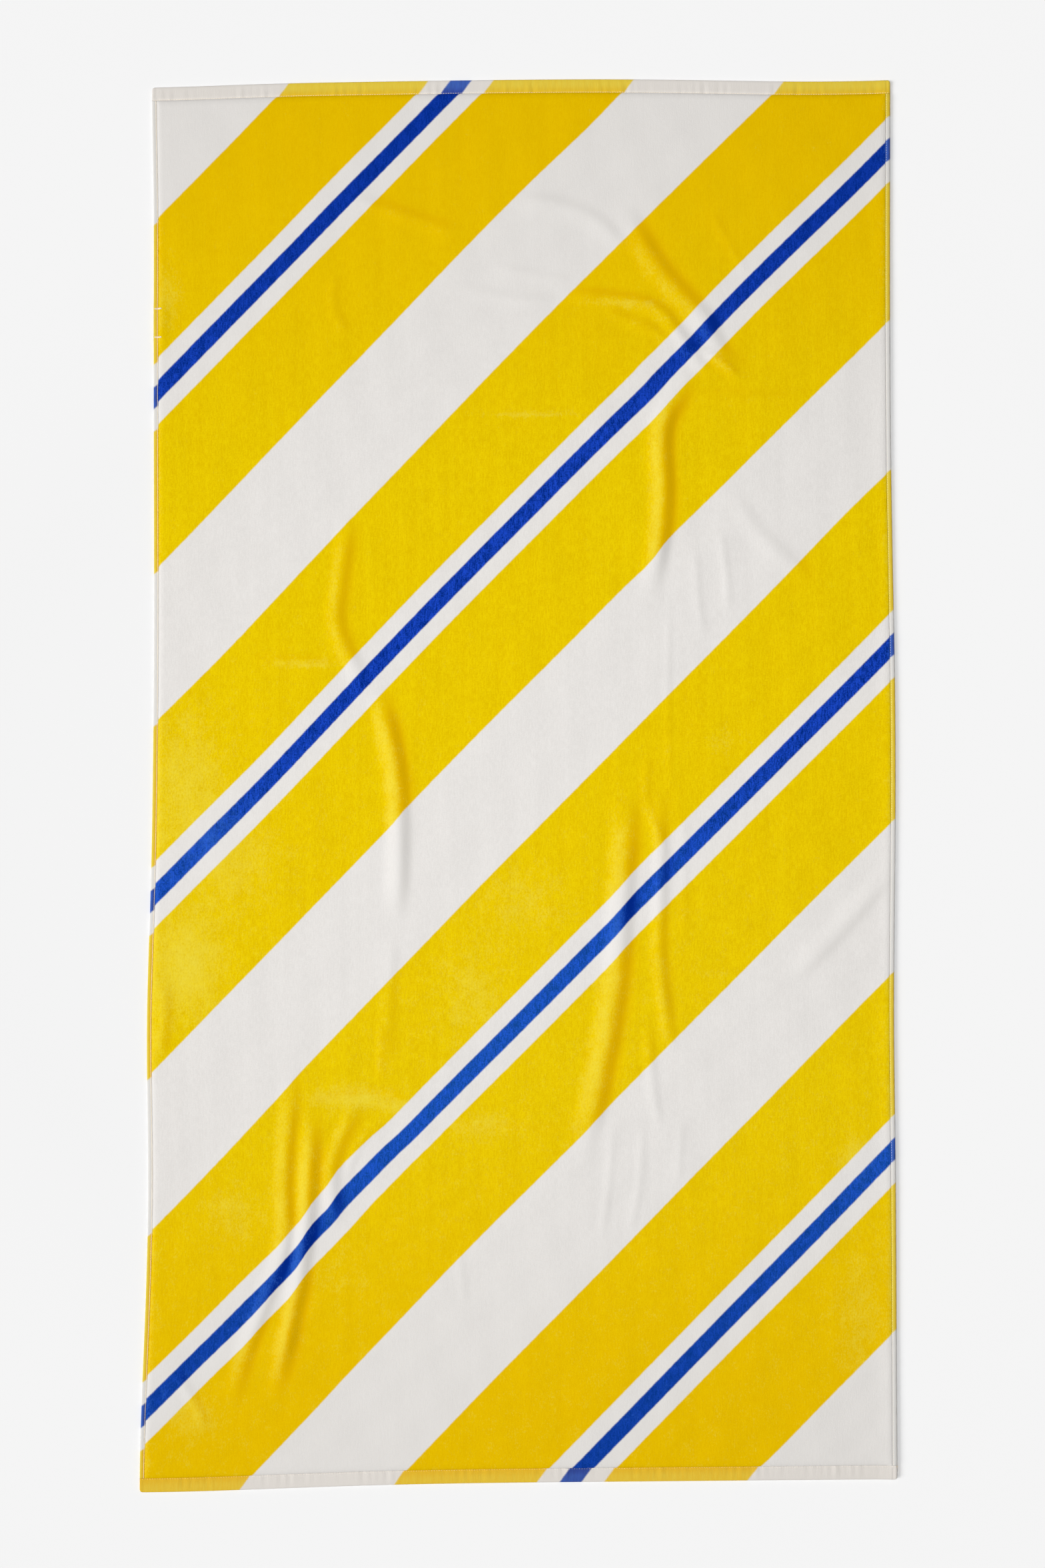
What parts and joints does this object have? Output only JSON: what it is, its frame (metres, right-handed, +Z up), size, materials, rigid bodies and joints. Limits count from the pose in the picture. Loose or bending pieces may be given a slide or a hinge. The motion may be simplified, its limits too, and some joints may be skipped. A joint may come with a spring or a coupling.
{
  "type": "beach towel",
  "caption": "Velour beach towel lying flat, with wide diagonal stripes, folded and stitched hems on all sides, and a blank label on its back.",
  "frame": {"origin": "centre of the towel's box, on the surface it lies on", "axes": "+X across the towel to its right side seen face up, +Y along its length to its top end, +Z up out of its face"},
  "size_m": [0.912, 1.7142, 0.0054],
  "materials": {
    "velour": "sheared cotton pile, matt with a soft sheen, in yellow, white and blue diagonal stripes",
    "flat_weave": "pile-less flat weave of the end hems, matt, in paler stripes",
    "selvedge": "folded selvedge of the side hems, matt, striped as the field",
    "sewing_thread": "off-white spun polyester sewing thread, slight sheen",
    "label_tape": "blank white satin-woven tape, slight sheen"
  },
  "bodies": {
    "root": {"bottom_bobbin_thread": "sewing_thread", "bottom_hem": "flat_weave", "bottom_needle_thread": "sewing_thread", "label": "label_tape", "label_lower_bobbin_thread": "sewing_thread", "label_lower_needle_thread": "sewing_thread", "label_upper_bobbin_thread": "sewing_thread", "label_upper_needle_thread": "sewing_thread", "left_bobbin_thread": "sewing_thread", "left_hem": "selvedge", "left_needle_thread": "sewing_thread", "right_bobbin_thread": "sewing_thread", "right_hem": "selvedge", "right_needle_thread": "sewing_thread", "terry_panel": "velour", "top_bobbin_thread": "sewing_thread", "top_hem": "flat_weave", "top_needle_thread": "sewing_thread"}
  },
  "joints": []
}
